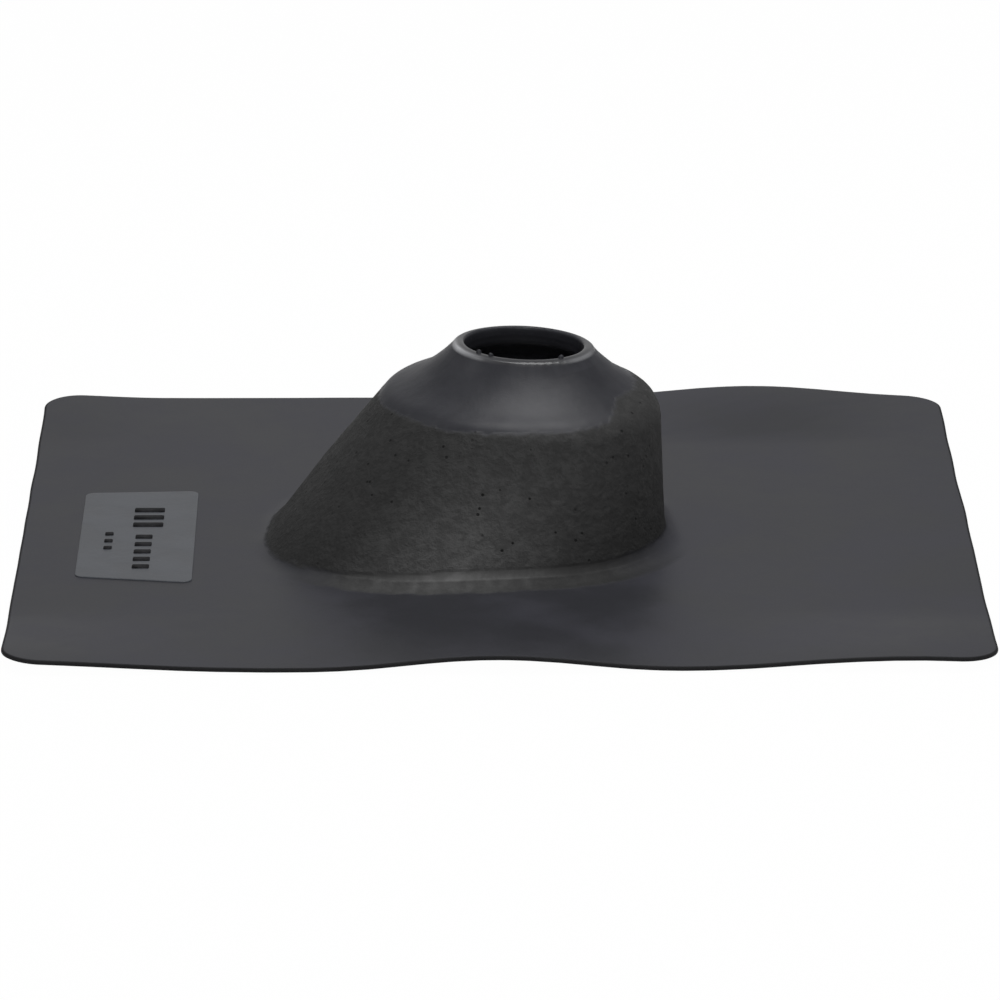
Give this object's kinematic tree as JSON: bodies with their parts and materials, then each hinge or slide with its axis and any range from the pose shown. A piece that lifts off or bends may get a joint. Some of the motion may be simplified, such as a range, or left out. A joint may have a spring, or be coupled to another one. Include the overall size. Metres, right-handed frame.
{
  "type": "pipe flashing boot",
  "caption": "One-piece rubber roof flashing boot: thin rectangular flange, hollow slanted boot and a collar that grips a round vent pipe.",
  "frame": {"origin": "middle of the flange on its underside, with the level sheet lying on z = 0", "axes": "+X up the roof slope along the flange's long side, with the boot's slanted side towards -X; +Y across the slope; +Z away from the roof"},
  "size_m": [0.3556, 0.3174, 0.0732],
  "materials": {
    "moulded_rubber": "semi-matt charcoal elastomer, smooth on the neck, finely pebbled on the boot walls, a little glossier on the label panel"
  },
  "bodies": {
    "root": {"flashing_boot": "moulded_rubber"}
  },
  "joints": []
}
